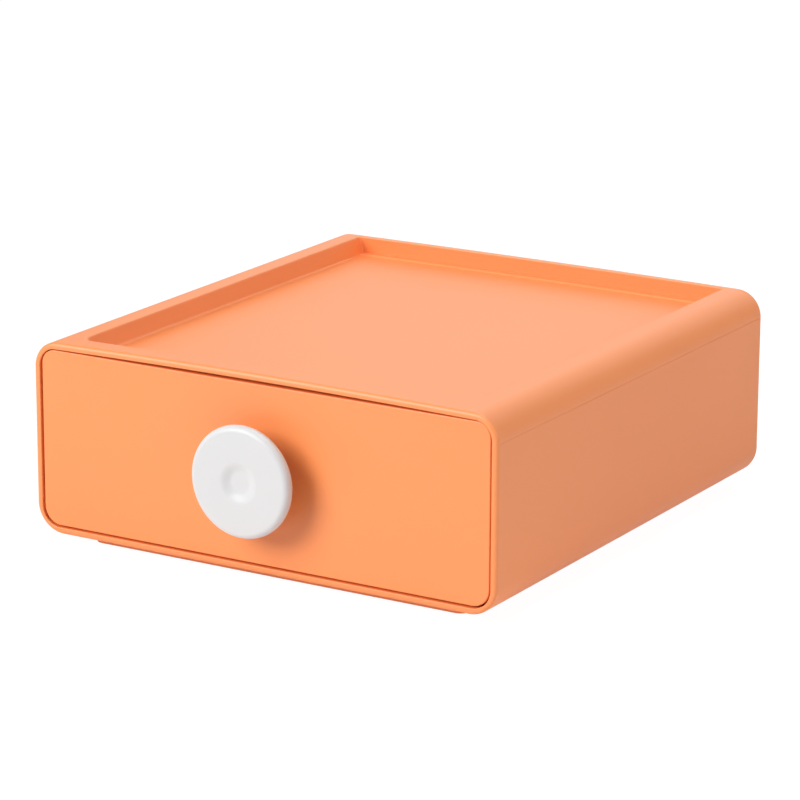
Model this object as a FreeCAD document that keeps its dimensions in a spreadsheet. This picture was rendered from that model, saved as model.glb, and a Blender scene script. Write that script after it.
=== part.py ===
import FreeCAD, Part
import math
import os
import Sketcher

# Stackable desk drawer box with one drawer, a round knob, a tray on top and a plinth underneath.
# Millimetres. X runs across the front, +Y from the front to the back, +Z up from the desk.
# Every sub-part is drawn with Y = 0 at the shell's front face, and its placement then moves the
# middle of the whole length, knob included, to the origin.

document = FreeCAD.newDocument("pen_drawer_box")
sheet = document.addObject("Spreadsheet::Sheet", "sizes")

SIZES = {
    # Outer shell, overall
    "shell_width": 180.0,
    "shell_depth": 188.7,
    "shell_height": 67.9,
    "shell_wall": 2.3,
    "back_wall": 2.3,
    "top_round": 9.3,
    "base_round": 10.4,
    "mouth_edge_round": 1.1,
    "back_edge_round": 0.8,
    # Mouth of the shell, where the drawer's front sits
    "mouth_top_round": 6.3,
    "mouth_base_round": 7.0,
    # Tray on top of the shell
    "rim_side": 14.0,
    "rim_front": 8.4,
    "rim_back": 2.6,
    "top_tray_drop": 6.4,
    "top_tray_slope": 3.2,
    "top_tray_skin": 2.3,
    "top_tray_front_round": 5.0,
    "top_tray_back_round": 1.2,
    "top_tray_ledge": 2.4,
    "top_tray_step": 0.7,
    "rim_edge_round": 0.6,
    # Plinth under the shell, which drops into the tray of a box below
    "plinth_height": 3.8,
    "plinth_side_inset": 16.5,
    "plinth_front_inset": 8.9,
    "plinth_back_inset": 3.3,
    "plinth_front_round": 4.0,
    "plinth_back_round": 1.5,
    "plinth_skirt": 2.0,
    "plinth_rib": 1.6,
    "plinth_rib_spread": 62.0,
    # Soft pads under the plinth
    "pad_radius": 6.0,
    "pad_thickness": 1.8,
    "pad_proud": 0.8,
    "pad_seat_gap": 0.1,
    "pad_boss_wall": 1.8,
    "pad_inset": 3.0,
    # Runners, guides and stop inside the shell
    "runner_spread": 120.0,
    "runner_width": 3.0,
    "runner_rise": 1.9,
    "slide_gap": 0.3,
    "guide_height": 5.0,
    "guide_above_floor": 26.0,
    "guide_start": 14.0,
    "stop_width": 40.0,
    "stop_thickness": 2.4,
    "stop_start": 24.0,
    "stop_rise": 1.6,
    # Drawer
    "front_gap": 0.6,
    "front_top_gap": 1.2,
    "front_sink": 0.5,
    "front_thickness": 2.6,
    "front_edge_round": 0.4,
    "tray_headroom": 2.7,
    "tray_wall": 1.8,
    "tray_floor": 1.8,
    "tray_side_step": 0.9,
    "tray_base_round": 4.5,
    "tray_back_round": 4.5,
    "tray_rim_round": 0.6,
    "tray_inner_round": 3.0,
    "tray_inner_foot": 2.5,
    "hook_thickness": 2.4,
    "hook_setback": 7.0,
    "hook_side_gap": 2.0,
    # Knob and its fastening
    "knob_radius": 19.1,
    "knob_rim": 4.2,
    "knob_reach": 11.8,
    "knob_stem_radius": 7.0,
    "knob_stem_flare": 1.4,
    "knob_dimple_radius": 6.9,
    "knob_dimple_floor": 4.4,
    "knob_dimple_depth": 0.7,
    "insert_radius": 2.8,
    "insert_length": 7.5,
    "insert_seat_gap": 0.05,
    "insert_hole_spare": 0.8,
    "screw_radius": 2.0,
    "screw_length": 12.0,
    "screw_play": 0.05,
    "screw_hole_play": 0.25,
    "screw_head_radius": 4.0,
    "screw_head_height": 2.9,
    "screw_head_round": 1.6,
    "screw_tip_bevel": 0.4,
    "screw_drive_span": 4.4,
    "screw_drive_width": 1.0,
    "screw_drive_depth": 1.6,
    "washer_radius": 5.5,
    "washer_thickness": 0.8,
    "screw_boss_radius": 7.5,
    "screw_boss_height": 1.4,
}

for row, (alias, number) in enumerate(SIZES.items(), start=1):
    sheet.set("A%d" % row, alias)
    sheet.set("B%d" % row, str(number))
    sheet.setAlias("B%d" % row, alias)
document.recompute()

# Heights and widths that several sub-parts share, written from the sizes above
UNDERSIDE = "(sizes.pad_proud + sizes.plinth_height)"
TOP = "(%s + sizes.shell_height)" % UNDERSIDE
FLOOR = "(%s + sizes.shell_wall)" % UNDERSIDE
HALF_SHELL = "(sizes.shell_width / 2)"
HALF_MOUTH = "(%s - sizes.shell_wall)" % HALF_SHELL
MOUTH_TOP = "(%s - sizes.shell_wall)" % TOP
INSIDE_END = "(sizes.shell_depth - sizes.back_wall)"
HALF_FRONT = "(%s - sizes.front_gap)" % HALF_MOUTH
FRONT_LOW = "(%s + sizes.front_gap)" % FLOOR
FRONT_HIGH = "(%s - sizes.front_top_gap)" % MOUTH_TOP
FRONT_BACK_FACE = "(sizes.front_sink + sizes.front_thickness)"
HALF_TRAY = "(%s - sizes.tray_side_step)" % HALF_FRONT
RUNNER_TOP = "(%s + sizes.runner_rise)" % FLOOR
TRAY_LOW = "(%s + sizes.slide_gap)" % RUNNER_TOP
TRAY_HIGH = "(%s - sizes.top_tray_drop - sizes.top_tray_skin - sizes.tray_headroom)" % TOP
TRAY_END = "(%s - sizes.slide_gap)" % INSIDE_END
KNOB_HEIGHT = "((%s + %s) / 2)" % (FLOOR, MOUTH_TOP)
BOSS_FACE = "(%s + sizes.screw_boss_height)" % FRONT_BACK_FACE
ORIGIN_SHIFT = "(-(sizes.shell_depth - sizes.knob_reach) / 2)"


def amount(expression):
    """The number that an expression on the sizes gives now."""
    return float(sheet.evalExpression(expression))


def new_body(label, x="0", y="0", z="0"):
    """A sub-part, placed by its own offset and the common shift to the origin."""
    body = document.addObject("PartDesign::Body", label)
    body.Label = label
    body.setExpression("Placement.Base.x", x)
    body.setExpression("Placement.Base.y", "%s + %s" % (ORIGIN_SHIFT, y))
    body.setExpression("Placement.Base.z", z)
    return body


def new_sketch(body, name, role, offset="0"):
    """A sketch on one of the body's own planes, moved along the plane's normal."""
    sketch = body.newObject("Sketcher::SketchObject", name)
    plane = next(item for item in body.Origin.OriginFeatures if item.Role == role)
    sketch.AttachmentSupport = [(plane, "")]
    sketch.MapMode = "FlatFace"
    sketch.setExpression("AttachmentOffset.Base.z", offset)
    return sketch


def front_sketch(body, name, distance="0"):
    """A sketch in the plane of the front, moved back by a distance."""
    return new_sketch(body, name, "XZ_Plane", "-(%s)" % distance)


def level_sketch(body, name, height):
    """A horizontal sketch at a height."""
    return new_sketch(body, name, "XY_Plane", height)


def hold(sketch, kind, places, expression):
    """Adds a dimension and ties it to the sizes."""
    index = sketch.addConstraint(Sketcher.Constraint(kind, *places, amount(expression)))
    name = "held_%d" % index
    sketch.renameConstraint(index, name)
    sketch.setExpression("Constraints." + name, expression)


def hold_point(sketch, place, x, y):
    """Fixes one point by its distances from the sketch's origin. A leading minus is the other side."""
    for kind, axis, expression in (("DistanceX", -2, x), ("DistanceY", -1, y)):
        if expression == "0":
            sketch.addConstraint(Sketcher.Constraint("PointOnObject", *place, axis))
        elif expression.startswith("-"):
            hold(sketch, kind, (*place, -1, 1), expression[1:])
        else:
            hold(sketch, kind, (-1, 1, *place), expression)


def arc_between(start, end, radius, turn):
    """The shorter arc from start to end, turning left (1) or right (-1), as sketch geometry."""
    middle = (start + end) * 0.5
    chord = end - start
    height = math.sqrt(max(radius ** 2 - (chord.Length / 2) ** 2, 0.0))
    across = FreeCAD.Vector(-chord.y, chord.x, 0).normalize()
    centre = middle + across * height * turn
    first, last = (start, end) if turn > 0 else (end, start)
    angles = [math.atan2(point.y - centre.y, point.x - centre.x) for point in (first, last)]
    circle = Part.Circle(centre, FreeCAD.Vector(0, 0, 1), radius)
    return Part.ArcOfCircle(circle, *angles)


def draw_outline(sketch, steps):
    """Draws a closed outline of corners (x, y), with (radius, turn, None) where an arc follows."""
    corners = [step for step in steps if len(step) == 2]
    points = [FreeCAD.Vector(amount(x), amount(y), 0) for x, y in corners]
    arcs = {}
    passed = -1
    for step in steps:
        if len(step) == 2:
            passed += 1
        else:
            arcs[passed] = step[:2]
    ends = []
    for number, start in enumerate(points):
        end = points[(number + 1) % len(points)]
        if number in arcs:
            radius, turn = arcs[number]
            index = sketch.addGeometry(arc_between(start, end, amount(radius), turn))
            ends.append(((index, 1), (index, 2)) if turn > 0 else ((index, 2), (index, 1)))
            hold(sketch, "Radius", (index,), radius)
        else:
            index = sketch.addGeometry(Part.LineSegment(start, end))
            ends.append(((index, 1), (index, 2)))
    for number, (start_place, end_place) in enumerate(ends):
        next_start = ends[(number + 1) % len(ends)][0]
        sketch.addConstraint(Sketcher.Constraint("Coincident", *end_place, *next_start))
        hold_point(sketch, start_place, *corners[number])


def draw_rectangle(sketch, left, right, low, high):
    """A plain rectangle."""
    draw_outline(sketch, [(left, low), (right, low), (right, high), (left, high)])


def draw_rounded(sketch, half, low, high, low_round, high_round):
    """A rectangle centred on the vertical axis, with one radius at its low and one at its high corners."""
    low_x = "(%s - %s)" % (half, low_round)
    high_x = "(%s - %s)" % (half, high_round)
    low_y = "(%s + %s)" % (low, low_round)
    high_y = "(%s - %s)" % (high, high_round)
    draw_outline(sketch, [
        ("-" + low_x, low), (low_x, low), (low_round, 1, None),
        (half, low_y), (half, high_y), (high_round, 1, None),
        (high_x, high), ("-" + high_x, high), (high_round, 1, None),
        ("-" + half, high_y), ("-" + half, low_y), (low_round, 1, None),
    ])


def draw_circle(sketch, x, y, radius):
    """A circle held by its centre and radius."""
    centre = FreeCAD.Vector(amount(x), amount(y), 0)
    index = sketch.addGeometry(Part.Circle(centre, FreeCAD.Vector(0, 0, 1), amount(radius)))
    hold(sketch, "Radius", (index,), radius)
    hold_point(sketch, (index, 3), x, y)


def extrude(body, sketch, kind, length, reverse):
    """Pads or pockets a sketch and makes sure that it changed the solid the right way."""
    document.recompute()
    before = body.Shape.Volume if body.Tip else 0.0
    feature = body.newObject("PartDesign::" + kind, sketch.Name + "_" + kind.lower())
    feature.Profile = sketch
    feature.Reversed = reverse
    feature.setExpression("Length", length)
    body.Tip = feature
    document.recompute()
    change = body.Shape.Volume - before
    if change * (1 if kind == "Pad" else -1) <= 0:
        raise ValueError("%s changed the volume by %.3f" % (feature.Name, change))
    return feature


def pad_back(body, sketch, length):
    """Adds material from a front sketch towards the back."""
    return extrude(body, sketch, "Pad", length, True)


def cut_back(body, sketch, length):
    """Cuts from a front sketch towards the back."""
    return extrude(body, sketch, "Pocket", length, False)


def pad_down(body, sketch, length):
    """Adds material below a horizontal sketch."""
    return extrude(body, sketch, "Pad", length, True)


def cut_down(body, sketch, length):
    """Cuts below a horizontal sketch."""
    return extrude(body, sketch, "Pocket", length, False)


def cut_up(body, sketch, length):
    """Cuts above a horizontal sketch."""
    return extrude(body, sketch, "Pocket", length, True)


def round_edges(body, name, radius, wanted):
    """Rounds the edges of the body's last feature for which wanted(edge) is true."""
    base = body.Tip
    names = ["Edge%d" % number for number, edge in enumerate(base.Shape.Edges, start=1) if wanted(edge)]
    if not names:
        raise ValueError("%s finds no edge" % name)
    fillet = body.newObject("PartDesign::Fillet", name)
    fillet.Base = (base, names)
    fillet.setExpression("Radius", radius)
    body.Tip = fillet
    document.recompute()
    return fillet


def in_plane(edge, direction, distance):
    """Whether an edge lies in the plane across X, Y or Z at a distance from the origin."""
    box = edge.BoundBox
    least = getattr(box, direction + "Min")
    most = getattr(box, direction + "Max")
    return abs(least - distance) < 0.01 and abs(most - distance) < 0.01


# The shell: a block with round long edges, hollowed from its mouth
shell = new_body("outer_shell")
sketch = front_sketch(shell, "shell_block")
draw_rounded(sketch, HALF_SHELL, UNDERSIDE, TOP, "sizes.base_round", "sizes.top_round")
pad_back(shell, sketch, "sizes.shell_depth")

sketch = front_sketch(shell, "shell_hollow")
draw_rounded(sketch, HALF_MOUTH, FLOOR, MOUTH_TOP, "sizes.mouth_base_round", "sizes.mouth_top_round")
cut_back(shell, sketch, INSIDE_END)

# The tray on top: a trough with sloping sides hangs under the top wall and is then hollowed from above
SLOPE_RATE = "(sizes.top_tray_slope / sizes.top_tray_drop)"
SKIN_ACROSS = "(sizes.top_tray_skin * sqrt(1 + %s ^ 2))" % SLOPE_RATE
TRAY_MOUTH_HALF = "(%s - sizes.rim_side)" % HALF_SHELL


def trough_half(drop, skin="0"):
    """Half the trough's width at a drop below the top, on its inside or with its skin."""
    return "(%s - %s * (%s) + %s)" % (TRAY_MOUTH_HALF, SLOPE_RATE, drop, skin)


def draw_trough(sketch, drop, low_drop, skin="0"):
    """The trough's section between two drops below the top."""
    high_half = trough_half(drop, skin)
    low_half = trough_half(low_drop, skin)
    high = "(%s - (%s))" % (TOP, drop)
    low = "(%s - (%s))" % (TOP, low_drop)
    draw_outline(sketch, [
        ("-" + low_half, low), (low_half, low),
        (high_half, high), ("-" + high_half, high),
    ])


sketch = front_sketch(shell, "top_tray_body", "(sizes.rim_front - sizes.top_tray_skin)")
draw_trough(sketch, "sizes.shell_wall / 2", "sizes.top_tray_drop + sizes.top_tray_skin", SKIN_ACROSS)
trough_end = "(sizes.shell_depth - sizes.back_wall / 2)"
pad_back(shell, sketch, "%s - (sizes.rim_front - sizes.top_tray_skin)" % trough_end)

LEDGE_DROP = "(sizes.top_tray_drop - sizes.top_tray_step)"
TOP_TRAY_END = "(sizes.shell_depth - sizes.rim_back)"
sketch = front_sketch(shell, "top_tray_floor", "sizes.rim_front")
draw_trough(sketch, "0", "sizes.top_tray_drop")
cut_back(shell, sketch, "%s - sizes.top_tray_ledge - sizes.rim_front" % TOP_TRAY_END)

sketch = front_sketch(shell, "top_tray_ledge", "sizes.rim_front")
draw_trough(sketch, "0", LEDGE_DROP)
cut_back(shell, sketch, "%s - sizes.rim_front" % TOP_TRAY_END)


tray_top = amount(TOP)
tray_low = amount("%s - sizes.top_tray_drop" % TOP)
tray_half = amount(TRAY_MOUTH_HALF)
tray_start = amount("sizes.rim_front")
tray_end = amount(TOP_TRAY_END)


def tray_corner(edge, plane):
    """Whether an edge is a sloping corner of the tray on top, in the plane of its front or back wall."""
    box = edge.BoundBox
    return in_plane(edge, "Y", plane) and box.ZLength > 0.01 and box.ZMin > tray_low - 0.01


def tray_mouth(edge):
    """Whether an edge runs round the mouth of the tray on top."""
    box = edge.BoundBox
    between = tray_start - 0.01 < box.YMin and box.YMax < tray_end + 0.01
    return in_plane(edge, "Z", tray_top) and between and max(-box.XMin, box.XMax) < tray_half + 0.01


round_edges(shell, "top_tray_front_corners", "sizes.top_tray_front_round",
            lambda edge: tray_corner(edge, tray_start))
round_edges(shell, "top_tray_back_corners", "sizes.top_tray_back_round",
            lambda edge: tray_corner(edge, tray_end))
round_edges(shell, "top_tray_rim", "sizes.rim_edge_round", tray_mouth)

# The plinth: a skirt with ribs and four bosses for the pads
PLINTH_HALF = "(%s - sizes.plinth_side_inset)" % HALF_SHELL
PLINTH_END = "(sizes.shell_depth - sizes.plinth_back_inset)"
SKIRT_HALF = "(%s - sizes.plinth_skirt)" % PLINTH_HALF
SKIRT_START = "(sizes.plinth_front_inset + sizes.plinth_skirt)"
SKIRT_END = "(%s - sizes.plinth_skirt)" % PLINTH_END
PAD_X = "(%s - sizes.pad_inset - sizes.pad_radius)" % PLINTH_HALF
PAD_FRONT_Y = "(sizes.plinth_front_inset + sizes.pad_inset + sizes.pad_radius)"
PAD_REAR_Y = "(%s - sizes.pad_inset - sizes.pad_radius)" % PLINTH_END
PAD_SPOTS = {
    "front_left": ("-" + PAD_X, PAD_FRONT_Y),
    "front_right": (PAD_X, PAD_FRONT_Y),
    "rear_left": ("-" + PAD_X, PAD_REAR_Y),
    "rear_right": (PAD_X, PAD_REAR_Y),
}

sketch = level_sketch(shell, "plinth_block", UNDERSIDE)
draw_rounded(sketch, PLINTH_HALF, "sizes.plinth_front_inset", PLINTH_END,
             "sizes.plinth_front_round", "sizes.plinth_back_round")
pad_down(shell, sketch, "sizes.plinth_height")

sketch = level_sketch(shell, "plinth_hollow", "sizes.pad_proud")
draw_rectangle(sketch, "-" + SKIRT_HALF, SKIRT_HALF, SKIRT_START, SKIRT_END)
cut_up(shell, sketch, "sizes.plinth_height")

sketch = level_sketch(shell, "plinth_long_ribs", UNDERSIDE)
rib_near = "(sizes.plinth_rib_spread / 2 - sizes.plinth_rib / 2)"
rib_far = "(sizes.plinth_rib_spread / 2 + sizes.plinth_rib / 2)"
draw_rectangle(sketch, rib_near, rib_far, SKIRT_START, SKIRT_END)
draw_rectangle(sketch, "-" + rib_far, "-" + rib_near, SKIRT_START, SKIRT_END)
pad_down(shell, sketch, "sizes.plinth_height")

sketch = level_sketch(shell, "plinth_cross_ribs", UNDERSIDE)
rib_count = 3
for number in range(1, rib_count + 1):
    middle = "(%s + (%s - %s) * %d / %d)" % (SKIRT_START, SKIRT_END, SKIRT_START, number, rib_count + 1)
    draw_rectangle(sketch, "-" + SKIRT_HALF, SKIRT_HALF,
                   "(%s - sizes.plinth_rib / 2)" % middle, "(%s + sizes.plinth_rib / 2)" % middle)
pad_down(shell, sketch, "sizes.plinth_height")

sketch = level_sketch(shell, "pad_bosses", UNDERSIDE)
for x, y in PAD_SPOTS.values():
    draw_circle(sketch, x, y, "(sizes.pad_radius + sizes.pad_seat_gap + sizes.pad_boss_wall)")
pad_down(shell, sketch, "sizes.plinth_height")

sketch = level_sketch(shell, "pad_seats", "sizes.pad_proud")
for x, y in PAD_SPOTS.values():
    draw_circle(sketch, x, y, "(sizes.pad_radius + sizes.pad_seat_gap)")
cut_up(shell, sketch, "sizes.pad_thickness - sizes.pad_proud")

# Inside the shell: two runners under the drawer, a guide at each side and the stop rib
RUNNER_START = "(%s + sizes.slide_gap)" % FRONT_BACK_FACE
sketch = front_sketch(shell, "runners", RUNNER_START)
near = "(sizes.runner_spread / 2 - sizes.runner_width / 2)"
far = "(sizes.runner_spread / 2 + sizes.runner_width / 2)"
runner_root = "(%s - sizes.shell_wall / 2)" % FLOOR
draw_rectangle(sketch, near, far, runner_root, RUNNER_TOP)
draw_rectangle(sketch, "-" + far, "-" + near, runner_root, RUNNER_TOP)
pad_back(shell, sketch, "%s - %s" % (INSIDE_END, RUNNER_START))

sketch = front_sketch(shell, "side_guides", "sizes.guide_start")
guide_low = "(%s + sizes.guide_above_floor)" % FLOOR
guide_high = "(%s + sizes.guide_height)" % guide_low
guide_face = "(%s + sizes.slide_gap)" % HALF_TRAY
guide_root = "(%s + sizes.shell_wall / 2)" % HALF_MOUTH
draw_rectangle(sketch, guide_face, guide_root, guide_low, guide_high)
draw_rectangle(sketch, "-" + guide_root, "-" + guide_face, guide_low, guide_high)
pad_back(shell, sketch, "%s - sizes.guide_start" % INSIDE_END)

STOP_END = "(sizes.stop_start + sizes.stop_thickness)"
sketch = front_sketch(shell, "stop_rib", "sizes.stop_start")
stop_half = "(sizes.stop_width / 2)"
draw_rectangle(sketch, "-" + stop_half, stop_half, runner_root, "(%s + sizes.stop_rise)" % FLOOR)
pad_back(shell, sketch, "sizes.stop_thickness")

back_plane = amount("sizes.shell_depth")
mouth_half = amount(HALF_MOUTH)


mouth_low = amount(FLOOR)
mouth_high = amount(MOUTH_TOP)


def outer_loop(edge, plane):
    """Whether an edge belongs to the shell's outline at its front or back, outside its mouth."""
    box = edge.BoundBox
    sideways = max(-box.XMin, box.XMax) > mouth_half + 0.01
    upright = box.ZMin < mouth_low - 0.01 or box.ZMax > mouth_high + 0.01
    return in_plane(edge, "Y", plane) and (sideways or upright)


round_edges(shell, "mouth_edge", "sizes.mouth_edge_round", lambda edge: outer_loop(edge, 0.0))
round_edges(shell, "back_edge", "sizes.back_edge_round", lambda edge: outer_loop(edge, back_plane))

# The soft pads under the plinth
for place, (x, y) in PAD_SPOTS.items():
    pad = new_body("anti_slip_pad_" + place, x, y)
    sketch = level_sketch(pad, "pad_" + place, "sizes.pad_thickness")
    draw_circle(sketch, "0", "0", "sizes.pad_radius")
    pad_down(pad, sketch, "sizes.pad_thickness")

# The drawer: a flat front with a tray behind it. It opens until the hook at its back meets the stop rib
drawer = new_body("drawer_tray")
sketch = front_sketch(drawer, "drawer_front", "sizes.front_sink")
draw_rounded(sketch, HALF_FRONT, FRONT_LOW, FRONT_HIGH,
             "(sizes.mouth_base_round - sizes.front_gap)", "(sizes.mouth_top_round - sizes.front_top_gap)")
pad_back(drawer, sketch, "sizes.front_thickness")
front_plane = amount("sizes.front_sink")
round_edges(drawer, "drawer_front_edge", "sizes.front_edge_round",
            lambda edge: in_plane(edge, "Y", front_plane))

sketch = front_sketch(drawer, "tray_block", FRONT_BACK_FACE)
low_x = "(%s - sizes.tray_base_round)" % HALF_TRAY
low_y = "(%s + sizes.tray_base_round)" % TRAY_LOW
draw_outline(sketch, [
    ("-" + low_x, TRAY_LOW), (low_x, TRAY_LOW), ("sizes.tray_base_round", 1, None),
    (HALF_TRAY, low_y), (HALF_TRAY, TRAY_HIGH), ("-" + HALF_TRAY, TRAY_HIGH),
    ("-" + HALF_TRAY, low_y), ("sizes.tray_base_round", 1, None),
])
pad_back(drawer, sketch, "%s - %s" % (TRAY_END, FRONT_BACK_FACE))

tray_side = amount(HALF_TRAY)
tray_rear = amount(TRAY_END)


def tray_back_corner(edge):
    """Whether an edge is one of the two upright outer corners at the tray's back."""
    at_side = in_plane(edge, "X", -tray_side) or in_plane(edge, "X", tray_side)
    return at_side and in_plane(edge, "Y", tray_rear)


round_edges(drawer, "tray_back_corners", "sizes.tray_back_round", tray_back_corner)

sketch = level_sketch(drawer, "tray_hollow", TRAY_HIGH)
tray_inside_half = "(%s - sizes.tray_wall)" % HALF_TRAY
tray_inside_end = "(%s - sizes.tray_wall)" % TRAY_END
draw_rounded(sketch, tray_inside_half, FRONT_BACK_FACE, tray_inside_end,
             "sizes.tray_inner_round", "(sizes.tray_back_round - sizes.tray_wall)")
cut_down(drawer, sketch, "%s - %s - sizes.tray_floor" % (TRAY_HIGH, TRAY_LOW))
inner_floor = amount("%s + sizes.tray_floor" % TRAY_LOW)
tray_brim = amount(TRAY_HIGH)
tray_front = amount(FRONT_BACK_FACE)


def tray_brim_edge(edge):
    """Whether an edge runs along the tray's brim, behind the drawer's front."""
    return in_plane(edge, "Z", tray_brim) and not in_plane(edge, "Y", tray_front)


round_edges(drawer, "tray_inner_foot", "sizes.tray_inner_foot",
            lambda edge: in_plane(edge, "Z", inner_floor))
round_edges(drawer, "tray_rim", "sizes.tray_rim_round", tray_brim_edge)

sketch = front_sketch(drawer, "screw_boss", FRONT_BACK_FACE)
draw_circle(sketch, "0", KNOB_HEIGHT, "sizes.screw_boss_radius")
pad_back(drawer, sketch, "sizes.screw_boss_height")

sketch = front_sketch(drawer, "screw_hole", "sizes.front_sink")
draw_circle(sketch, "0", KNOB_HEIGHT, "(sizes.screw_radius + sizes.screw_hole_play)")
cut_back(drawer, sketch, "%s - sizes.front_sink" % BOSS_FACE)

HOOK_START = "(%s - sizes.hook_setback - sizes.hook_thickness)" % TRAY_END
sketch = front_sketch(drawer, "stop_hook", HOOK_START)
hook_half = "(sizes.stop_width / 2 - sizes.hook_side_gap)"
draw_rectangle(sketch, "-" + hook_half, hook_half, "(%s + sizes.slide_gap)" % FLOOR,
               "(%s + sizes.tray_floor / 2)" % TRAY_LOW)
pad_back(drawer, sketch, "sizes.hook_thickness")

# The knob, turned about its own axis: ahead of the drawer's front is negative Y
KNOB_AXIS = ("0", "sizes.front_sink", KNOB_HEIGHT)
KNOB_LENGTH = "(sizes.knob_reach + sizes.front_sink)"
STEM_LENGTH = "(%s - sizes.knob_rim)" % KNOB_LENGTH
RIM_ROUND = "(sizes.knob_rim / 2)"
SEAT_RADIUS = "(sizes.insert_radius + sizes.insert_seat_gap)"


def turn_body(body, name, steps):
    """Revolves an outline, drawn as (along Y, out from the axis), about the knob's axis."""
    sketch = new_sketch(body, name, "YZ_Plane")
    draw_outline(sketch, steps)
    turned = body.newObject("PartDesign::Revolution", name + "_turned")
    turned.Profile = sketch
    turned.ReferenceAxis = (sketch, ["H_Axis"])
    turned.Angle = 360
    body.Tip = turned
    document.recompute()


knob = new_body("knob", *KNOB_AXIS)
insert_hole = "(sizes.insert_length + sizes.insert_hole_spare)"
rim_out = "(sizes.knob_radius - %s)" % RIM_ROUND
turn_body(knob, "knob_profile", [
    ("0", SEAT_RADIUS),
    ("-" + insert_hole, SEAT_RADIUS),
    ("-" + insert_hole, "0"),
    ("-(%s - sizes.knob_dimple_depth)" % KNOB_LENGTH, "0"),
    ("-(%s - sizes.knob_dimple_depth)" % KNOB_LENGTH, "sizes.knob_dimple_floor"),
    ("-" + KNOB_LENGTH, "sizes.knob_dimple_radius"),
    ("-" + KNOB_LENGTH, rim_out), (RIM_ROUND, -1, None),
    ("-(%s - %s)" % (KNOB_LENGTH, RIM_ROUND), "sizes.knob_radius"), (RIM_ROUND, -1, None),
    ("-" + STEM_LENGTH, rim_out),
    ("-" + STEM_LENGTH, "(sizes.knob_stem_radius + sizes.knob_stem_flare)"),
    ("sizes.knob_stem_flare", 1, None),
    ("-(%s - sizes.knob_stem_flare)" % STEM_LENGTH, "sizes.knob_stem_radius"),
    ("0", "sizes.knob_stem_radius"),
])

insert = new_body("knob_insert", *KNOB_AXIS)
thread_radius = "(sizes.screw_radius + sizes.screw_play)"
turn_body(insert, "insert_profile", [
    ("0", thread_radius), ("0", "sizes.insert_radius"),
    ("-sizes.insert_length", "sizes.insert_radius"), ("-sizes.insert_length", thread_radius),
])

# The washer lies on the boss inside the drawer, and the screw's head on the washer
washer = new_body("knob_washer", "0", BOSS_FACE, KNOB_HEIGHT)
washer_hole = "(sizes.screw_radius + sizes.screw_hole_play)"
turn_body(washer, "washer_profile", [
    ("0", washer_hole), ("sizes.washer_thickness", washer_hole),
    ("sizes.washer_thickness", "sizes.washer_radius"), ("0", "sizes.washer_radius"),
])

screw = new_body("knob_screw", "0", "(%s + sizes.washer_thickness)" % BOSS_FACE, KNOB_HEIGHT)
turn_body(screw, "screw_profile", [
    ("sizes.screw_head_height", "0"),
    ("-sizes.screw_length", "0"),
    ("-sizes.screw_length", "(sizes.screw_radius - sizes.screw_tip_bevel)"),
    ("-(sizes.screw_length - sizes.screw_tip_bevel)", "sizes.screw_radius"),
    ("0", "sizes.screw_radius"),
    ("0", "sizes.screw_head_radius"),
    ("(sizes.screw_head_height - sizes.screw_head_round)", "sizes.screw_head_radius"),
    ("sizes.screw_head_round", 1, None),
    ("sizes.screw_head_height", "(sizes.screw_head_radius - sizes.screw_head_round)"),
])
drive_floor = "(sizes.screw_head_height - sizes.screw_drive_depth)"
long_half = "(sizes.screw_drive_span / 2)"
short_half = "(sizes.screw_drive_width / 2)"
for name, across, up in (("drive_level", long_half, short_half), ("drive_upright", short_half, long_half)):
    sketch = front_sketch(screw, name, drive_floor)
    draw_rectangle(sketch, "-" + across, across, "-" + up, up)
    cut_back(screw, sketch, "sizes.screw_drive_depth")

# Nothing is written unless every object recomputed and every sub-part is a sound solid
for item in document.Objects:
    if "Invalid" in item.State or "Error" in item.State:
        raise ValueError("%s did not recompute" % item.Name)
travel = amount("%s - %s - sizes.slide_gap" % (HOOK_START, STOP_END))
print("the drawer opens by", round(travel, 3), "mm")
bodies = document.findObjects("PartDesign::Body")
for body in bodies:
    if body.Shape.isNull() or not body.Shape.isValid() or len(body.Shape.Solids) != 1:
        raise ValueError("%s is not one sound solid" % body.Label)
os.makedirs("parts", exist_ok=True)
for body in bodies:
    body.Shape.exportStep("parts/%s.step" % body.Label)
    print(body.Label, round(body.Shape.Volume, 1), body.Shape.BoundBox)
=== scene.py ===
import math
import bmesh
import bpy
from mathutils import Matrix, Vector


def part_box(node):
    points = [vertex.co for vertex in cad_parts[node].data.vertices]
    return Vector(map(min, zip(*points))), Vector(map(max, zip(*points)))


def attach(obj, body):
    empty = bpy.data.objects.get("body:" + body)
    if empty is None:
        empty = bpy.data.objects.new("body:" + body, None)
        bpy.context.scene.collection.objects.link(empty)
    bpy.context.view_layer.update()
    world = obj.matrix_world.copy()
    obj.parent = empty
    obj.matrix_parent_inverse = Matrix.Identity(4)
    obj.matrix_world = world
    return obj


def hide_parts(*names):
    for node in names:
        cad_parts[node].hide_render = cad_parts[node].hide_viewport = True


# Stackable desk drawer box: an orange case with a tray on top, a drawer and a round white knob.
# Lengths in the modelling calls are millimetres in the frame of the CAD model, +Y to the back, +Z up.
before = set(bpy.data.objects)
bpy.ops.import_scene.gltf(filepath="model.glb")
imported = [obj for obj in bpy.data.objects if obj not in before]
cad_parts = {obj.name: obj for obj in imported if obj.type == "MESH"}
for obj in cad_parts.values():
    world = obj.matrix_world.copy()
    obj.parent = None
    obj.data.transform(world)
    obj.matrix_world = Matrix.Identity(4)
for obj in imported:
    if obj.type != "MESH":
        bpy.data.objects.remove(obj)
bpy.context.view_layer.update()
MM = 0.001
X, Y, Z = range(3)
AHEAD, BACKWARD, UP, DOWN = (0, -1, 0), (0, 1, 0), (0, 0, 1), (0, 0, -1)
SMOOTH_ANGLE, SLACK = math.radians(32.0), 0.1

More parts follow.
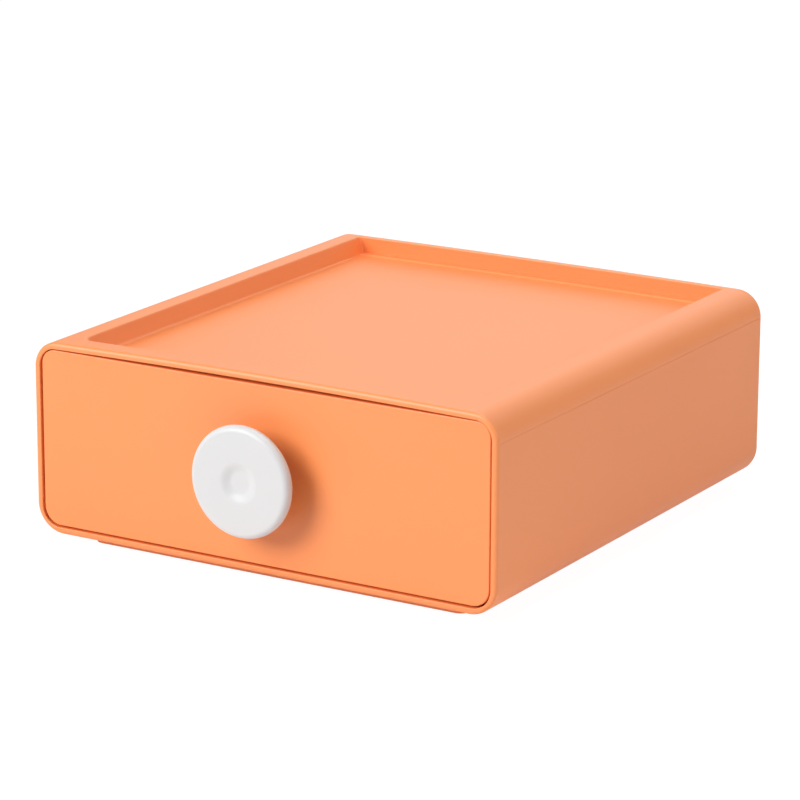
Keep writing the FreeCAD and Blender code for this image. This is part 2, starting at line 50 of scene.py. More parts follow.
# Camera, at the photograph's viewing angle
AZIMUTH, ELEVATION, ROLL = math.radians(31.07), math.radians(15.67), math.radians(0.23)
CAMERA_TARGET, CAMERA_DISTANCE = (-0.14, 1.55, 42.45), 1293.8
back = Vector((math.sin(AZIMUTH) * math.cos(ELEVATION),
               -math.cos(AZIMUTH) * math.cos(ELEVATION),
               math.sin(ELEVATION)))
level_right = Vector((0.0, 0.0, 1.0)).cross(back).normalized()
level_up = back.cross(level_right)
right = level_right * math.cos(ROLL) + level_up * math.sin(ROLL)
up = level_up * math.cos(ROLL) - level_right * math.sin(ROLL)
bpy.ops.object.camera_add(location=Vector(CAMERA_TARGET) * MM + back * CAMERA_DISTANCE * MM)
camera = bpy.context.object
camera.name = "photo_camera"
camera.rotation_euler = Matrix((right, up, back)).transposed().to_euler()
camera.data.lens = 168.0
camera.data.sensor_width = 36.0
camera.data.clip_start = 0.05
camera.data.clip_end = 30.0
bpy.context.scene.camera = camera


def box_of(node):
    """A CAD node's two corners in millimetres, to a hundredth."""
    return [[round(length / MM, 2) for length in corner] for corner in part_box(node)]


def leave_edit():
    """Goes back to object mode, if a piece is open in edit mode."""
    if bpy.context.object and bpy.context.object.mode != "OBJECT":
        bpy.ops.object.mode_set(mode="OBJECT")


def take(piece):
    """Makes one piece the only selected and active object."""
    leave_edit()
    bpy.ops.object.select_all(action="DESELECT")
    piece.select_set(True)
    bpy.context.view_layer.objects.active = piece


def block(name, low, high):
    """A box between two corners, applied, so that its place is in its mesh."""
    leave_edit()
    bpy.ops.object.select_all(action="DESELECT")
    middle = [(a + b) / 2 * MM for a, b in zip(low, high)]
    bpy.ops.mesh.primitive_cube_add(size=1.0, location=middle)
    piece = bpy.context.object
    piece.name = name
    piece.data.name = name
    piece.scale = [(b - a) * MM for a, b in zip(low, high)]
    bpy.ops.object.transform_apply(location=True, rotation=True, scale=True)
    return piece


def disc(name, centre, radius, thickness, axis="Z", corners=48):
    """A cylinder whose middle is at the centre, applied."""
    leave_edit()
    bpy.ops.object.select_all(action="DESELECT")
    turn = (math.pi / 2, 0.0, 0.0) if axis == "Y" else (0.0, 0.0, 0.0)
    bpy.ops.mesh.primitive_cylinder_add(vertices=corners, radius=radius * MM, depth=thickness * MM,
                                        location=[c * MM for c in centre], rotation=turn)
    piece = bpy.context.object
    piece.name = name
    piece.data.name = name
    bpy.ops.object.transform_apply(location=True, rotation=True, scale=True)
    return piece


def edit(piece, kind):
    """Opens a piece in edit mode for its edges or its faces, with nothing selected."""
    take(piece)
    bpy.ops.object.mode_set(mode="EDIT")
    bpy.ops.mesh.select_mode(type=kind)
    bpy.ops.mesh.select_all(action="DESELECT")
    return bmesh.from_edit_mesh(piece.data)


def pick_faces(piece, wanted):
    """Selects the faces for which wanted(centre in mm, normal) is true."""
    mesh = edit(piece, "FACE")
    for face in mesh.faces:
        if wanted(face.calc_center_median() / MM, face.normal):
            face.select = True
    mesh.select_flush_mode()
    bmesh.update_edit_mesh(piece.data)


def pick_edges(piece, wanted):
    """Selects the edges for which wanted(start in mm, end in mm) is true."""
    mesh = edit(piece, "EDGE")
    for edge in mesh.edges:
        if wanted(edge.verts[0].co / MM, edge.verts[1].co / MM):
            edge.select = True
    mesh.select_flush_mode()
    bmesh.update_edit_mesh(piece.data)


def bevel(width, segments):
    """Rounds the selected edges."""
    bpy.ops.mesh.bevel(offset=width * MM, offset_type="OFFSET", segments=segments, profile=0.5,
                       affect="EDGES", clamp_overlap=False)


def inset(width):
    """Insets the selected face by an even width."""
    bpy.ops.mesh.inset(thickness=width * MM, use_boundary=True, use_even_offset=True)


def extrude(way):
    """Extrudes what is selected and moves it by a way."""
    bpy.ops.mesh.extrude_region_move(TRANSFORM_OT_translate={"value": [length * MM for length in way]})


def move(way):
    """Moves what is selected by a way."""
    bpy.ops.transform.translate(value=[length * MM for length in way])


def stretch(factors, centre):
    """Scales what is selected about a point."""
    bpy.ops.transform.resize(value=factors, center_override=[c * MM for c in centre])


def cut(axis, place):
    """Cuts through what is selected, square to an axis at a place on it."""
    bpy.ops.mesh.bisect(plane_co=[place * MM * (axis == other) for other in (X, Y, Z)],
                        plane_no=[float(axis == other) for other in (X, Y, Z)])


def apply_modifier(piece, kind, **settings):
    """Adds a modifier with its settings and applies it."""
    take(piece)
    modifier = piece.modifiers.new(kind.title(), kind)
    for key, value in settings.items():
        setattr(modifier, key, value)
    bpy.ops.object.modifier_apply(modifier=modifier.name)


def join(piece, *others):
    """Joins other pieces into one, which keeps its name."""
    take(piece)
    for other in others:
        other.select_set(True)
    bpy.ops.object.join()


def near(a, b, margin=0.02):
    """Whether two lengths are the same within a margin."""
    return abs(a - b) < margin


def lies(start, end, axis, place, margin=0.02):
    """Whether both ends of an edge are at one place on an axis."""
    return near(start[axis], place, margin) and near(end[axis], place, margin)


def along_y(start, end):
    """Whether an edge runs from front to back."""
    return near(start.x, end.x) and near(start.z, end.z) and not near(start.y, end.y)


def looks(normal, way):
    """Whether a face looks straight in a way."""
    return normal.dot(Vector(way)) > 0.99


def quarter_turn(steps):
    """The two angles of each step of a quarter turn."""
    return [[math.pi / 2 * number / steps for number in (step, step + 1)] for step in range(steps)]


def finish_piece(piece, body, slot, material, *nodes):
    """Smooths a finished piece's rounds, gives it its material and fixes it to its body."""
    take(piece)
    bpy.ops.object.shade_smooth_by_angle(angle=SMOOTH_ANGLE)
    apply_modifier(piece, "WEIGHTED_NORMAL", keep_sharp=True, weight=50)
    piece.data.materials.clear()
    piece.data.materials.append(material)
    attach(piece, body)
    if nodes:
        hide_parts(*nodes)


# Sizes of the case in millimetres. The frame gives its box, and the rest is measured from that box
case_low, case_high = box_of("outer_shell")
HALF, FRONT, REAR, TOP = case_high[X], case_low[Y], case_high[Y], case_high[Z]
PLINTH_LOW, PLINTH_HEIGHT = case_low[Z], 3.8
BASE = PLINTH_LOW + PLINTH_HEIGHT
TOP_ROUND, BASE_ROUND = 9.3, 10.4
WALL = 2.3
FLOOR = BASE + WALL
MOUTH_HALF, MOUTH_TOP, INSIDE_END = HALF - WALL, TOP - WALL, REAR - WALL
MOUTH_TOP_ROUND, MOUTH_LOW_ROUND, MOUTH_LIP = 6.3, 7.0, 0.3
FRONT_EDGE_ROUND, REAR_EDGE_ROUND = 1.2, 0.8
CROWN_FRONT, CROWN_REAR, CROWN_CUTS = 0.8, 0.4, range(-70, 71, 10)
FIRST_INSET = 1.0

# Sizes of the tray on top
TRAY_HALF, TRAY_FRONT, TRAY_REAR = HALF - 14.0, FRONT + 8.4, REAR - 2.6
TRAY_DROP, TRAY_SLOPE = 6.4, 1.9
TRAY_STEP, TRAY_STEP_RUN, TRAY_LEDGE = 0.45, 0.6, 2.4
TRAY_FRONT_ROUND, TRAY_REAR_ROUND, TRAY_RIM_ROUND, TRAY_FOOT_ROUND = 5.0, 1.2, 0.6, 1.0
TRAY_SKIN = 2.3
TRAY_FLOOR = TOP - TRAY_DROP
LEDGE_TOP = TRAY_FLOOR + TRAY_STEP
LEDGE_EDGE = TRAY_REAR - TRAY_LEDGE

# Sizes of the plinth, its ribs, its bosses and the pads. Skirt, bosses, long ribs and cross ribs end
# at slightly different heights, so that where they cross no two faces lie in one plane
PLINTH_HALF, PLINTH_FRONT, PLINTH_REAR = HALF - 16.5, FRONT + 8.9, REAR - 3.3
PLINTH_FRONT_ROUND, PLINTH_REAR_ROUND = 4.0, 1.5
PLINTH_SKIRT = 2.0
RIB_HALF, RIB_MIDDLES, CROSS_RIBS = 0.8, (-31.0, 31.0), 3
LONG_RIB_LOW, CROSS_RIB_LOW = PLINTH_LOW + 0.2, PLINTH_LOW + 0.3
BOSS_RADIUS, BOSS_WALL, BOSS_LOW = 7.9, 1.8, PLINTH_LOW + 0.05
PAD_RADIUS, PAD_THICK, PAD_ROUND, PAD_RING, PAD_SLOPE, PAD_DISH = 6.0, 1.8, 0.5, 1.4, 0.5, 0.3
ROOT = 0.5


def resize_face(low, high, new_low, new_high):
    """Moves a selected level face from one rectangle to another."""
    old_middle = [(a + b) / 2 for a, b in zip(low, high)]
    new_middle = [(a + b) / 2 for a, b in zip(new_low, new_high)]
    factors = [(d - c) / (b - a) for a, b, c, d in zip(low, high, new_low, new_high)]
    stretch((*factors, 1.0), (*old_middle, 0.0))
    move([b - a for a, b in zip(old_middle, new_middle)] + [0.0])


def inset_to(piece, wanted, corner_round, new_low, new_high):
    """Insets a level face between two long rounds and sets it to a new rectangle."""
    pick_faces(piece, wanted)
    inset(FIRST_INSET)
    side = HALF - corner_round - FIRST_INSET
    resize_face((-side, FRONT + FIRST_INSET), (side, REAR - FIRST_INSET), new_low, new_high)


# Outside of the case: a block with four long rounds
case = block("case", (-HALF, FRONT, BASE), (HALF, REAR, TOP))
pick_edges(case, lambda a, b: along_y(a, b) and near(a.z, TOP))
bevel(TOP_ROUND, segments=16)
pick_edges(case, lambda a, b: along_y(a, b) and near(a.z, BASE))
bevel(BASE_ROUND, segments=16)

# Tray on top: the top face is inset, widened to the tray's mouth and sunk in two steps
inset_to(case, lambda c, n: looks(n, UP) and near(c.z, TOP), TOP_ROUND,
         (-TRAY_HALF, TRAY_FRONT), (TRAY_HALF, TRAY_REAR))
extrude((0.0, 0.0, LEDGE_TOP - TOP))
ledge_half = TRAY_HALF - TRAY_SLOPE * (TOP - LEDGE_TOP) / TRAY_DROP
stretch((ledge_half / TRAY_HALF, 1.0, 1.0), (0.0, 0.0, 0.0))
pick_faces(case, lambda c, n: looks(n, UP) and near(c.z, LEDGE_TOP))
cut(Y, LEDGE_EDGE)
pick_faces(case, lambda c, n: looks(n, UP) and near(c.z, LEDGE_TOP) and c.y < LEDGE_EDGE)
extrude((0.0, 0.0, -TRAY_STEP))
stretch(((TRAY_HALF - TRAY_SLOPE) / ledge_half, 1.0, 1.0), (0.0, 0.0, 0.0))
pick_edges(case, lambda a, b: near(a.z, TRAY_FLOOR) and lies(a, b, Y, LEDGE_EDGE))
move((0.0, -TRAY_STEP_RUN, 0.0))


def tray_corner(a, b, plane):
    """Whether an edge is part of a sloping corner of the tray, at its front or its back wall."""
    return lies(a, b, Y, plane) and not near(a.z, b.z) and abs(a.x) < TRAY_HALF + SLACK


def tray_rim(a, b):
    """Whether an edge runs round the tray's mouth."""
    across = max(abs(a.x), abs(b.x)) < TRAY_HALF + SLACK
    along = min(a.y, b.y) > TRAY_FRONT - SLACK and max(a.y, b.y) < TRAY_REAR + SLACK
    return lies(a, b, Z, TOP) and across and along


def tray_foot(a, b):
    """Whether an edge runs round the foot of the tray, without the step along its back."""
    return lies(a, b, Z, TRAY_FLOOR) and not lies(a, b, Y, LEDGE_EDGE - TRAY_STEP_RUN)


pick_edges(case, lambda a, b: tray_corner(a, b, TRAY_FRONT))
bevel(TRAY_FRONT_ROUND, segments=10)
pick_edges(case, lambda a, b: tray_corner(a, b, TRAY_REAR))
bevel(TRAY_REAR_ROUND, segments=5)
pick_edges(case, tray_rim)
bevel(TRAY_RIM_ROUND, segments=4)
pick_edges(case, tray_foot)
bevel(TRAY_FOOT_ROUND, segments=5)

# Plinth: the bottom face is inset, set to the plinth's outline, drawn down and hollowed
inset_to(case, lambda c, n: looks(n, DOWN) and near(c.z, BASE), BASE_ROUND,
         (-PLINTH_HALF, PLINTH_FRONT), (PLINTH_HALF, PLINTH_REAR))
extrude((0.0, 0.0, -PLINTH_HEIGHT))


def plinth_corner(a, b, plane):
    """Whether an edge is an upright corner of the plinth."""
    upright = near(a.x, b.x) and not near(a.z, b.z)
    return upright and lies(a, b, Y, plane) and max(a.z, b.z) < BASE + SLACK


pick_edges(case, lambda a, b: plinth_corner(a, b, PLINTH_FRONT))
bevel(PLINTH_FRONT_ROUND, segments=8)
pick_edges(case, lambda a, b: plinth_corner(a, b, PLINTH_REAR))
bevel(PLINTH_REAR_ROUND, segments=4)
pick_faces(case, lambda c, n: looks(n, DOWN) and near(c.z, PLINTH_LOW))
inset(PLINTH_SKIRT)
extrude((0.0, 0.0, PLINTH_HEIGHT))

# Inside of the case: a second block, less the underside of the tray
LIP_START, LIP_STEPS = FRONT + MOUTH_LIP, 4
hollow = block("case_hollow", (-MOUTH_HALF, LIP_START, FLOOR), (MOUTH_HALF, INSIDE_END, MOUTH_TOP))
pick_edges(hollow, lambda a, b: along_y(a, b) and near(a.z, MOUTH_TOP))
bevel(MOUTH_TOP_ROUND, segments=16)
pick_edges(hollow, lambda a, b: along_y(a, b) and near(a.z, FLOOR))
bevel(MOUTH_LOW_ROUND, segments=16)
slope = TRAY_SLOPE / TRAY_DROP
trough_low = TRAY_FLOOR - TRAY_SKIN
high_half = TRAY_HALF + TRAY_SKIN * math.sqrt(1 + slope ** 2)
low_half = high_half - slope * (TOP - trough_low)
trough = block("case_trough", (-high_half, TRAY_FRONT - TRAY_SKIN, trough_low), (high_half, REAR, TOP))
pick_faces(trough, lambda c, n: looks(n, DOWN))
stretch((low_half / high_half, 1.0, 1.0), (0.0, 0.0, 0.0))
apply_modifier(hollow, "BOOLEAN", object=trough, operation="DIFFERENCE", solver="EXACT")
bpy.data.objects.remove(trough)

# Lip of the mouth: the rim of the hollow runs forward and flares in a quarter round
pick_faces(hollow, lambda c, n: looks(n, AHEAD) and near(c.y, LIP_START))
bpy.ops.mesh.delete(type="FACE")
pick_edges(hollow, lambda a, b: lies(a, b, Y, LIP_START))
mouth_middle = (FLOOR + MOUTH_TOP) / 2
mouth_rise = (MOUTH_TOP - FLOOR) / 2
for last, turn in quarter_turn(LIP_STEPS):
    extrude((0.0, MOUTH_LIP * (math.sin(last) - math.sin(turn)), 0.0))
    wide = [MOUTH_LIP * (1 - math.cos(angle)) for angle in (last, turn)]
    across, upward = [(size + wide[1]) / (size + wide[0]) for size in (MOUTH_HALF, mouth_rise)]
    stretch((across, 1.0, upward), (0.0, 0.0, mouth_middle))
bpy.ops.mesh.select_all(action="SELECT")
bpy.ops.mesh.flip_normals()

# The hollow, turned inside out, is joined to the case along the front
pick_faces(case, lambda c, n: looks(n, AHEAD) and near(c.y, FRONT))
bpy.ops.mesh.delete(type="FACE")
join(case, hollow)
pick_edges(case, lambda a, b: lies(a, b, Y, FRONT))
bpy.ops.mesh.bridge_edge_loops()


def outside_round(p):
    """Whether a point lies on one of the outer corner rounds."""
    if p.z > (TOP + BASE) / 2:
        radius, centre_z = TOP_ROUND, TOP - TOP_ROUND
    else:
        radius, centre_z = BASE_ROUND, BASE + BASE_ROUND
    across = abs(p.x) - (HALF - radius)
    return across > -0.05 and near(math.hypot(across, p.z - centre_z), radius, 0.05)


def front_outline(a, b):
    """Whether an edge belongs to the outer outline of the case's front."""
    side = min(abs(a.x), abs(b.x)) > HALF - SLACK
    level = min(a.z, b.z) > TOP - SLACK or max(a.z, b.z) < BASE + SLACK
    return lies(a, b, Y, FRONT) and (side or level or outside_round(a) and outside_round(b))


pick_edges(case, front_outline)
bevel(FRONT_EDGE_ROUND, segments=6)
pick_edges(case, lambda a, b: lies(a, b, Y, REAR))
bevel(REAR_EDGE_ROUND, segments=4)

# Parting line: a fine groove along each side, where the upper rounds begin
PARTING, GROOVE_HALF, GROOVE_DEPTH = TOP - TOP_ROUND, 0.16, 0.14
for height in (PARTING - GROOVE_HALF, PARTING, PARTING + GROOVE_HALF):
    bpy.ops.mesh.select_all(action="SELECT")
    cut(Z, height)
pick_edges(case, lambda a, b: lies(a, b, Z, PARTING, 0.01) and min(abs(a.x), abs(b.x)) > HALF - SLACK)
stretch((1 - GROOVE_DEPTH / HALF, 1.0, 1.0), (0.0, 0.0, 0.0))

# Sizes of the drawer: the frame gives its box. SEAM keeps the tray's inner face a hair behind the back
# of the panel, so that the two don't lie in one plane
drawer_low, drawer_high = box_of("drawer_tray")
PANEL_HALF, PANEL_FRONT, PANEL_HIGH, PANEL_LOW = drawer_high[X], drawer_low[Y], drawer_high[Z], 7.5
PANEL_BACK = PANEL_FRONT + 2.6
PANEL_TOP_ROUND, PANEL_LOW_ROUND, PANEL_EDGE_ROUND = 5.1, 6.4, 0.45
DRAWER_HALF, DRAWER_LOW, DRAWER_BRIM, DRAWER_REAR = 85.9, 9.1, 61.1, drawer_high[Y]
DRAWER_WALL, DRAWER_ROUND, DRAWER_FOOT_ROUND, BRIM_ROUND = 1.8, 4.5, 2.5, 0.5
DRAWER_FLOOR = DRAWER_LOW + DRAWER_WALL
SEAM = 0.05

# Inside of the case: two runners under the drawer, a guide at each side and the stop rib. SINK is how
# far they reach into the case's walls
RUNNER_MIDDLE, RUNNER_HALF, RUNNER_START, RUNNER_HIGH = 60.0, 1.5, FRONT + 3.4, FLOOR + 1.9
GUIDE_GAP, GUIDE_START, GUIDE_LOW, GUIDE_HIGH = 0.3, FRONT + 14.0, FLOOR + 26.0, FLOOR + 31.0
STOP_HALF, STOP_START, STOP_END, STOP_HIGH = 20.0, FRONT + 24.0, FRONT + 26.4, FLOOR + 1.6
SINK, RUNNER_ROUND, SMALL_ROUND = 1.0, 0.5, 0.4
fittings = []
for side in (-1, 1):
    middle = side * RUNNER_MIDDLE
    rail = block("runner", (middle - RUNNER_HALF, RUNNER_START, FLOOR - SINK),
                 (middle + RUNNER_HALF, INSIDE_END + SINK, RUNNER_HIGH))
    pick_edges(rail, lambda a, b: min(a.z, b.z) > FLOOR)
    bevel(RUNNER_ROUND, segments=3)
    fittings.append(rail)
    sides = sorted((side * (DRAWER_HALF + GUIDE_GAP), side * (MOUTH_HALF + SINK)))
    guide = block("guide", (sides[0], GUIDE_START, GUIDE_LOW), (sides[1], INSIDE_END + SINK, GUIDE_HIGH))
    pick_edges(guide, lambda a, b: max(abs(a.x), abs(b.x)) < MOUTH_HALF)
    bevel(SMALL_ROUND, segments=3)
    fittings.append(guide)
stop = block("stop_rib", (-STOP_HALF, STOP_START, FLOOR - SINK), (STOP_HALF, STOP_END, STOP_HIGH))
pick_edges(stop, lambda a, b: min(a.z, b.z) > FLOOR)
bevel(SMALL_ROUND, segments=3)
fittings.append(stop)
join(case, *fittings)

# Under the case: the ribs, the bosses that hold the pads, and the pads. ROOT is what sinks into the case
ribs = []
skirt_half = PLINTH_HALF - PLINTH_SKIRT + ROOT
skirt_front, skirt_rear = PLINTH_FRONT + PLINTH_SKIRT, PLINTH_REAR - PLINTH_SKIRT
for middle in RIB_MIDDLES:
    ribs.append(block("plinth_rib", (middle - RIB_HALF, skirt_front - ROOT, LONG_RIB_LOW),
                      (middle + RIB_HALF, skirt_rear + ROOT, BASE + ROOT)))
for number in range(1, CROSS_RIBS + 1):
    middle = skirt_front + (skirt_rear - skirt_front) * number / (CROSS_RIBS + 1)
    ribs.append(block("plinth_rib", (-skirt_half, middle - RIB_HALF, CROSS_RIB_LOW),
                      (skirt_half, middle + RIB_HALF, BASE + ROOT)))
pads = []
for name in ("front_left", "front_right", "rear_left", "rear_right"):
    node = "anti_slip_pad_" + name
    low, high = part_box(node)
    x, y = (low.x + high.x) / 2 / MM, (low.y + high.y) / 2 / MM
    boss = disc("pad_boss", (x, y, (BOSS_LOW + BASE + ROOT) / 2), BOSS_RADIUS, BASE + ROOT - BOSS_LOW)
    pick_faces(boss, lambda c, n: looks(n, DOWN))
    inset(BOSS_WALL)
    extrude((0.0, 0.0, PAD_THICK - BOSS_LOW))
    ribs.append(boss)
    pad = disc("soft_" + node, (x, y, PAD_THICK / 2), PAD_RADIUS, PAD_THICK)
    pick_edges(pad, lambda a, b: lies(a, b, Z, 0.0))
    bevel(PAD_ROUND, segments=4)
    pick_faces(pad, lambda c, n: looks(n, DOWN))
    inset(PAD_RING)
    inset(PAD_SLOPE)
    move((0.0, 0.0, PAD_DISH))
    pads.append((pad, node))
join(case, *ribs)

# Drawer: the flat front, and the tray behind it
drawer = block("drawer", (-PANEL_HALF, PANEL_FRONT, PANEL_LOW), (PANEL_HALF, PANEL_BACK, PANEL_HIGH))
pick_edges(drawer, lambda a, b: along_y(a, b) and near(a.z, PANEL_HIGH))
bevel(PANEL_TOP_ROUND, segments=14)
pick_edges(drawer, lambda a, b: along_y(a, b) and near(a.z, PANEL_LOW))
bevel(PANEL_LOW_ROUND, segments=14)
pick_edges(drawer, lambda a, b: lies(a, b, Y, PANEL_FRONT))
bevel(PANEL_EDGE_ROUND, segments=4)
tray = block("drawer_tray_body", (-DRAWER_HALF, PANEL_BACK - DRAWER_WALL + SEAM, DRAWER_LOW),
             (DRAWER_HALF, DRAWER_REAR, DRAWER_BRIM))
pick_edges(tray, lambda a, b: along_y(a, b) and near(a.z, DRAWER_LOW))
bevel(DRAWER_ROUND, segments=10)
pick_edges(tray, lambda a, b: lies(a, b, Y, DRAWER_REAR) and near(a.x, b.x)
           and abs(a.z - b.z) > DRAWER_ROUND)
bevel(DRAWER_ROUND, segments=10)
pick_faces(tray, lambda c, n: looks(n, UP))
inset(DRAWER_WALL)
extrude((0.0, 0.0, DRAWER_FLOOR - DRAWER_BRIM))
pick_edges(tray, lambda a, b: lies(a, b, Z, DRAWER_FLOOR))
bevel(DRAWER_FOOT_ROUND, segments=6)
pick_edges(tray, lambda a, b: lies(a, b, Z, DRAWER_BRIM))
bevel(BRIM_ROUND, segments=3)

# Hook that meets the stop rib, and the boss behind the front that carries the knob's screw
HOOK_HALF, HOOK_THICK, HOOK_SETBACK, HOOK_GAP, HOOK_SINK = 18.0, 2.4, 7.0, 0.3, 0.9
hook_start = DRAWER_REAR - HOOK_SETBACK - HOOK_THICK
hook = block("stop_hook", (-HOOK_HALF, hook_start, FLOOR + HOOK_GAP),
             (HOOK_HALF, hook_start + HOOK_THICK, DRAWER_LOW + HOOK_SINK))
pick_edges(hook, lambda a, b: max(a.z, b.z) < DRAWER_LOW)
bevel(SMALL_ROUND, segments=3)
knob_low, knob_high = box_of("knob")
insert_low, insert_high = box_of("knob_insert")
KNOB_Z = (insert_low[Z] + insert_high[Z]) / 2
SCREW_BOSS_RADIUS, SCREW_BOSS_THICK, SCREW_BOSS_END = 7.5, 2.4, PANEL_BACK + 1.4
boss = disc("screw_boss", (0.0, SCREW_BOSS_END - SCREW_BOSS_THICK / 2, KNOB_Z), SCREW_BOSS_RADIUS,
            SCREW_BOSS_THICK, axis="Y")
pick_edges(boss, lambda a, b: lies(a, b, Y, SCREW_BOSS_END))
bevel(SMALL_ROUND, segments=3)
join(drawer, tray, hook, boss)

# Knob: a disc with a round rim, a dimple in front and a flared stem behind
KNOB_RADIUS, KNOB_FRONT, KNOB_THICK = knob_high[X], knob_low[Y], 4.2
KNOB_BACK = KNOB_FRONT + KNOB_THICK
KNOB_FRONT_ROUND, KNOB_BACK_ROUND = 2.2, 1.9
DIMPLE_RADIUS, DIMPLE_SLOPE, DIMPLE_DEPTH, DIMPLE_STEPS = 7.4, 4.4, 1.1, 16
STEM_ROOT, STEM_FLARE, FLARE_STEPS = 8.6, 1.6, 8
knob = disc("round_knob", (0.0, (KNOB_FRONT + KNOB_BACK) / 2, KNOB_Z), KNOB_RADIUS, KNOB_THICK,
            axis="Y", corners=128)
pick_edges(knob, lambda a, b: lies(a, b, Y, KNOB_FRONT))
bevel(KNOB_FRONT_ROUND, segments=12)
pick_edges(knob, lambda a, b: lies(a, b, Y, KNOB_BACK))
bevel(KNOB_BACK_ROUND, segments=8)
pick_faces(knob, lambda c, n: looks(n, AHEAD) and near(c.x, 0.0, 0.5) and near(c.z, KNOB_Z, 0.5))
inset(KNOB_RADIUS - KNOB_FRONT_ROUND - DIMPLE_RADIUS)
for step in range(DIMPLE_STEPS):
    last, turn = [math.pi * (number / DIMPLE_STEPS - 0.5) for number in (step, step + 1)]
    inset(DIMPLE_SLOPE / DIMPLE_STEPS)
    move((0.0, DIMPLE_DEPTH * (math.sin(turn) - math.sin(last)) / 2, 0.0))
pick_faces(knob, lambda c, n: looks(n, BACKWARD) and near(c.x, 0.0, 0.5) and near(c.z, KNOB_Z, 0.5))
inset(KNOB_RADIUS - KNOB_BACK_ROUND - STEM_ROOT)
for last, turn in quarter_turn(FLARE_STEPS):
    inset(STEM_FLARE * (math.sin(turn) - math.sin(last)))
    move((0.0, STEM_FLARE * (math.cos(last) - math.cos(turn)), 0.0))
extrude((0.0, PANEL_FRONT - KNOB_BACK - STEM_FLARE, 0.0))


def crown(piece, front, rear):
    """Lowers the sides of the top, so that its middle stands proud as in a moulded case."""
    edit(piece, "FACE")
    for across in CROWN_CUTS:
        bpy.ops.mesh.select_all(action="SELECT")
        cut(X, across)
    mesh = bmesh.from_edit_mesh(piece.data)
    middle_z = (TOP + BASE) / 2
    for vert in mesh.verts:
        x, y, z = vert.co / MM
        height = min(max((z - middle_z) / (TOP - TOP_ROUND - middle_z), 0.0), 1.0)
        across = min(abs(x) / (HALF - TOP_ROUND), 1.0)
        depth = (y - FRONT) / (REAR - FRONT)
        vert.co.z -= (front + (rear - front) * depth) * across ** 2 * height * MM
    bmesh.update_edit_mesh(piece.data)
    leave_edit()


crown(case, CROWN_FRONT, CROWN_REAR)


def new_material(name):
    """A material with its shader, and shorthands that add nodes to it and link them."""
    material = bpy.data.materials.new(name)
    material.use_nodes = True
    nodes = material.node_tree.nodes
    shader = nodes["Principled BSDF"]

    def add(kind, **values):
        node = nodes.new("ShaderNode" + kind)
        for key, value in values.items():
            if key in node.inputs:
                node.inputs[key].default_value = value
            else:
                setattr(node, key.lower(), value)
        return node

    return material, shader, add, material.node_tree.links.new


def moulded_plastic(name, light, dark, roughness, spread, grain, depth, shine):
    """Moulded plastic: a hardly visible drift of colour, a fine spark-eroded grain and uneven gloss."""
    material, shader, add, link = new_material(name)
    place = add("TexCoord")
    drift = add("TexNoise", Scale=14.0, Detail=3.0, Roughness=0.5)
    link(place.outputs["Object"], drift.inputs["Vector"])
    colour = add("ValToRGB")
    for stop, position, shade in zip(colour.color_ramp.elements, (0.3, 0.7), (dark, light)):
        stop.position = position
        stop.color = (*shade, 1.0)
    link(drift.outputs["Fac"], colour.inputs["Fac"])
    link(colour.outputs["Color"], shader.inputs["Base Color"])
    fine = add("TexNoise", Scale=grain, Detail=4.0, Roughness=0.6)
    link(place.outputs["Object"], fine.inputs["Vector"])
    gloss = add("MapRange")
    gloss.inputs["To Min"].default_value = roughness - spread
    gloss.inputs["To Max"].default_value = roughness + spread
    link(fine.outputs["Fac"], gloss.inputs["Value"])
    link(gloss.outputs["Result"], shader.inputs["Roughness"])
    bump = add("Bump", Strength=0.35, Distance=depth * MM)
    link(fine.outputs["Fac"], bump.inputs["Height"])
    link(bump.outputs["Normal"], shader.inputs["Normal"])
    shader.inputs["Specular IOR Level"].default_value = shine
    return material


case_plastic = moulded_plastic("orange_moulded_plastic",
                               light=(0.95, 0.291, 0.081), dark=(0.94, 0.283, 0.077),
                               roughness=0.46, spread=0.05, grain=1800.0, depth=0.02, shine=0.8)
knob_plastic = moulded_plastic("white_gloss_plastic",
                               light=(0.69, 0.692, 0.695), dark=(0.675, 0.68, 0.685),
                               roughness=0.40, spread=0.02, grain=900.0, depth=0.0008, shine=0.5)
pad_rubber = moulded_plastic("grey_pad_rubber",
                             light=(0.11, 0.105, 0.10), dark=(0.085, 0.082, 0.08),
                             roughness=0.72, spread=0.08, grain=1200.0, depth=0.05, shine=0.3)


def turned_metal(name, light, dark, roughness):
    """Plated or machined metal with fine lines round its axis."""
    material, shader, add, link = new_material(name)
    place = add("TexCoord")
    lines = add("TexWave", wave_type="RINGS", rings_direction="Y",
                Scale=420.0, Distortion=2.0, Detail=2.0)
    centre = add("Mapping")
    centre.inputs["Location"].default_value = (0.0, 0.0, -KNOB_Z * MM)
    link(place.outputs["Object"], centre.inputs["Vector"])
    link(centre.outputs["Vector"], lines.inputs["Vector"])
    colour = add("ValToRGB")
    for stop, shade in zip(colour.color_ramp.elements, (dark, light)):
        stop.color = (*shade, 1.0)
    link(lines.outputs["Fac"], colour.inputs["Fac"])
    link(colour.outputs["Color"], shader.inputs["Base Color"])
    bump = add("Bump", Strength=0.3, Distance=0.02 * MM)
    link(lines.outputs["Fac"], bump.inputs["Height"])
    link(bump.outputs["Normal"], shader.inputs["Normal"])
    shader.inputs["Metallic"].default_value = 1.0
    shader.inputs["Roughness"].default_value = roughness
    return material


zinc = turned_metal("zinc_plated_steel", light=(0.62, 0.63, 0.66), dark=(0.52, 0.53, 0.56), roughness=0.3)
brass = turned_metal("machined_brass", light=(0.80, 0.60, 0.28), dark=(0.70, 0.50, 0.21), roughness=0.28)

